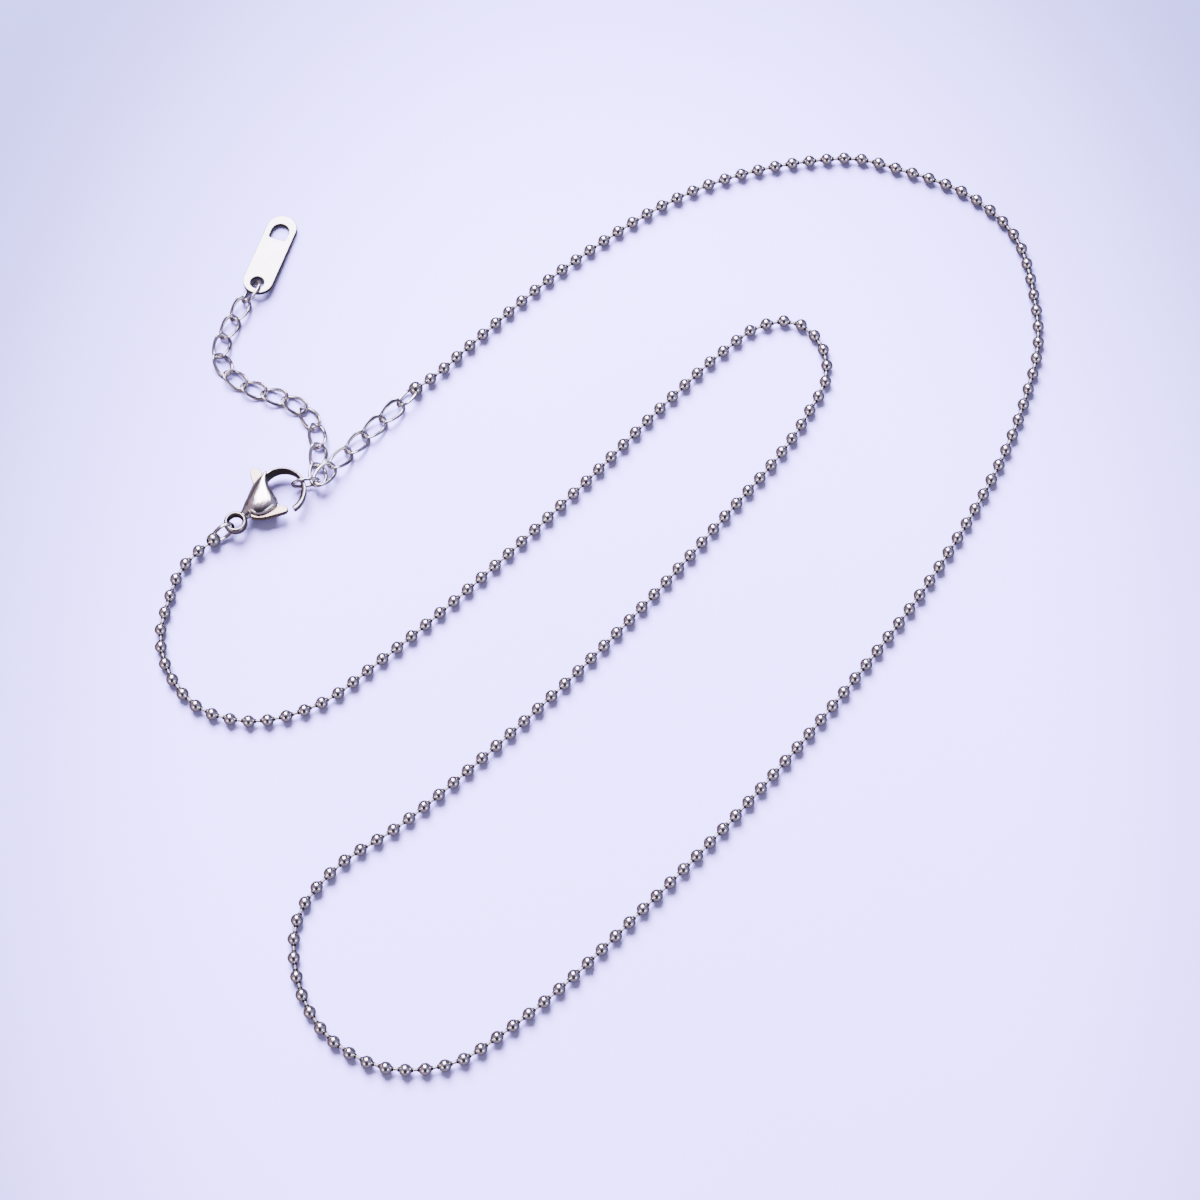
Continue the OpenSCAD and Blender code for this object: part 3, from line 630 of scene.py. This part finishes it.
# The neck joins the eye to the dome. Rows: X, Y, half width, half height
neck = {"sides": 20, "rows": [(1.25, 0.08, 0.55, 0.5), (1.7, 0.12, 0.74, 0.68), (2.2, 0.16, 0.98, 0.95),
                              (2.8, 0.22, 1.28, 1.22), (3.6, 0.3, 1.45, 1.38)]}
neckLoft = ringLoft("neck", [((x, y), (0, 1), wide, tall, 0, 1.0) for x, y, wide, tall in neck["rows"]],
                    neck["sides"])

# The claw's ring, from its root in the dome round to its tip. It opens out by "flare" over its last part, gets lower
# from "root" to "tip", and from a share of its length on its wall thickens and its inner edge leans.
claw = {"at": (7.5, -0.45), "radius": 2.74, "from": 108, "to": -103, "flare": 0.3, "flareFrom": -50, "flareOver": 53,
        "root": 2.5, "tip": 1.0, "taper": 1.6, "wall": 0.42, "tipWall": 0.72, "thickFrom": 0.36, "thickOver": 0.4,
        "lean": -0.6, "full": 0.6, "tipFull": 0.8, "rings": 36, "sides": 24}
clawRings = []
for k in range(claw["rings"] + 1):
    share = k / claw["rings"]
    turn = claw["from"] + (claw["to"] - claw["from"]) * share
    reach = claw["radius"] + claw["flare"] * eased((claw["flareFrom"] - turn) / claw["flareOver"])
    thicken = min(1, max(0, share - claw["thickFrom"]) / claw["thickOver"])
    wall = claw["wall"] + (claw["tipWall"] - claw["wall"]) * eased(thicken)
    tall = claw["tip"] + (claw["root"] - claw["tip"]) * (1 - share) ** claw["taper"]
    out = (math.cos(math.radians(turn)), math.sin(math.radians(turn)))
    clawRings.append(((claw["at"][0] + reach * out[0], claw["at"][1] + reach * out[1]), out, wall / 2, tall / 2,
                      claw["lean"] * thicken, claw["full"] + (claw["tipFull"] - claw["full"]) * thicken))
clawLoft = ringLoft("claw", clawRings, claw["sides"])

bpy.ops.object.select_all(action="DESELECT")
bpy.ops.mesh.primitive_torus_add(major_radius=clasp["eyeRadius"], minor_radius=clasp["eyeWire"], location=(0, 0, 0),
                                 major_segments=clasp["eyeSides"][0], minor_segments=clasp["eyeSides"][1])
eye = bpy.context.object
bpy.ops.object.mode_set(mode="EDIT")
bpy.ops.transform.resize(value=(1, 1, clasp["eyeTall"]))
bpy.ops.object.mode_set(mode="OBJECT")

# The lever turns about "pivot", from which its own points are measured. An arm is (turn, reach, width). The casting's
# slot clears "tab", "gate" and "heelSlot" up to "open" degrees, and the gate's plate is the narrower "finger" in it:
# (place of its round tip, half width, turn).
lever = {"pivot": (4.75, -0.12), "hub": 1.0, "thick": 0.9, "clear": 0.1, "open": 21, "bulge": 1.05, "edge": 0.08,
         "tab": (67, 4.1, 1.45), "tabFrom": (1.3, 1.0), "gate": (-60, 2.85, 1.3), "finger": ((1.06, -2.66), 0.5, -24),
         "tabPoints": 8, "fingerPoints": 10, "waist": (-0.4, -1.5), "hubRim": 0.95, "hubTurns": (0, 30),
         "backTurn": 150, "pinHole": 0.4, "holePoints": 24, "hubPoints": 32,
         "heel": [(-2.7, -0.4), (-2.8, -0.75), (-2.4, -1.3), (-1.9, -1.75), (-1.3, -2.12), (-0.45, -2.5)],
         "heelSlot": [(0, 0.6), (-2.85, -0.35), (-2.85, -1.5), (-1.9, -2.4), (0.8, -3.7), (1.2, -1)]}
body = joined("claspBody", [domeLoft, neckLoft, clawLoft, eye])
cast = body.modifiers.new("cast", "REMESH")
cast.mode, cast.voxel_size = "VOXEL", clasp["voxel"]
applyModifiers(body)


def armSweep(turn, reach, width):   # the room that an arm of the lever needs from rest to open
    half = width / 2 + lever["clear"]
    reach += width / 2
    corners = [(0, -half, turn), (reach, -half, turn), (reach * lever["bulge"], 0, turn + lever["open"] / 2),
               (reach, half, turn + lever["open"]), (0, half, turn + lever["open"])]
    return [(x * math.cos(math.radians(t)) - y * math.sin(math.radians(t)),
             x * math.sin(math.radians(t)) + y * math.cos(math.radians(t))) for x, y, t in corners]


hubSlot = circlePoints((0, 0), lever["hub"] + lever["clear"], lever["hubPoints"])
for outline in (hubSlot, armSweep(*lever["tab"]), armSweep(*lever["gate"]), lever["heelSlot"]):
    slotShape = plate("slot", [(outline, "VECTOR")], lever["thick"] + 2 * lever["clear"], 0)
    slotShape.data.transform(Matrix.Translation((*lever["pivot"], 0)))
    cut = body.modifiers.new("slot", "BOOLEAN")
    cut.object, cut.operation = slotShape, "DIFFERENCE"
    applyModifiers(body)
    bpy.data.objects.remove(slotShape)
recast = body.modifiers.new("recast", "REMESH")
recast.mode, recast.voxel_size = "VOXEL", clasp["voxel"]
buff = body.modifiers.new("buff", "SMOOTH")
buff.factor, buff.iterations = 0.5, clasp["smoothing"]
applyModifiers(body)
# Painted shade: faces that look inwards in the eye's hole and in the claw take an unbuffed, darker finish, and the
# claw's outer side and the eye a rougher, darker one.
rawAndShaded = {"eyeTo": 1.3, "eyeFacing": -0.5, "clawNear": 0.5, "clawFrom": -1, "clawFacing": -0.6}
# the claw and the eye: a rougher, darker finish, painted shade
dullAndShaded = {"clawOut": 2.2, "clawTurns": (-115, 82), "eyeTo": 1.62}
marks = []
for face in body.data.polygons:
    fromEye = Vector(face.center[:2])
    fromClaw = fromEye - Vector(claw["at"])
    way = Vector(face.normal[:2])
    around = math.degrees(math.atan2(fromClaw.y, fromClaw.x))
    inEye = fromEye.length < rawAndShaded["eyeTo"] and way.dot(fromEye.normalized()) < rawAndShaded["eyeFacing"]
    inClaw = (abs(fromClaw.length - claw["radius"]) < rawAndShaded["clawNear"] and fromClaw.y > rawAndShaded["clawFrom"]
              and way.dot(fromClaw.normalized()) < rawAndShaded["clawFacing"])
    onClaw = fromClaw.length > dullAndShaded["clawOut"] and dullAndShaded["clawTurns"][0] < around < dullAndShaded["clawTurns"][1]
    marks.append(1 if inEye or inClaw else 2 if onClaw or fromEye.length < dullAndShaded["eyeTo"] else 0)
body.data.transform(claspPlace)
finishPiece(body, "clasp_casting", "buffedCastSteel", ["clasp_body"], smoothTo=60)
# darker finishes inside the rings, on the claw and on the eye: painted shade
moreFinishes(body, ["shadedRawCastSteel", "shadedDullCastSteel"], marks)
print("clasp casting has", len(body.data.polygons), "faces")

# The lever is one stamped plate: the thumb tab, the hub, the gate's finger, and the heel along the dome's foot
tabTurn, tabReach, tabWide = lever["tab"]
fingerTip, fingerHalf, fingerTurn = lever["finger"]


def onArm(turn, along, aside=0):   # a point of an arm that is turned about the pivot
    c, s = math.cos(math.radians(turn)), math.sin(math.radians(turn))
    return (along * c - aside * s, along * s + aside * c)


leverRim = (circlePoints(fingerTip, fingerHalf, lever["fingerPoints"], fingerTurn - 90, 180) + [lever["waist"]]
            + [onArm(turn, lever["hubRim"]) for turn in lever["hubTurns"]]
            + [onArm(tabTurn, lever["tabFrom"][0], -tabWide / 2)]
            + circlePoints(onArm(tabTurn, tabReach), tabWide / 2, lever["tabPoints"], tabTurn - 90, 180)
            + [onArm(tabTurn, lever["tabFrom"][1], tabWide / 2), onArm(lever["backTurn"], lever["hubRim"])]
            + lever["heel"])
pinHole = circlePoints((0, 0), lever["pinHole"], lever["holePoints"])
leverPlate = plate("leverPlate", [(leverRim, "VECTOR"), (pinHole, "AUTO")], lever["thick"], lever["edge"])
leverPlate.data.transform(claspPlace @ Matrix.Translation((*lever["pivot"], 0)))
# the lever's darker, pinker finish is painted shade with a painted pink reflection
finishPiece(leverPlate, "clasp_gate", "shadedPinkSteelLever", ["clasp_lever"], body="lever", smoothTo=30)

# The pin keeps its solid, with the drawn wire's finish
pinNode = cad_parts["clasp_pin"]
pinNode.data.materials.clear()
pinNode.data.materials.append(steel["drawnSteelWire"])

# ---- sizes
print("cad box", [[round(c / mm, 2) for c in corner] for corner in cadBox])
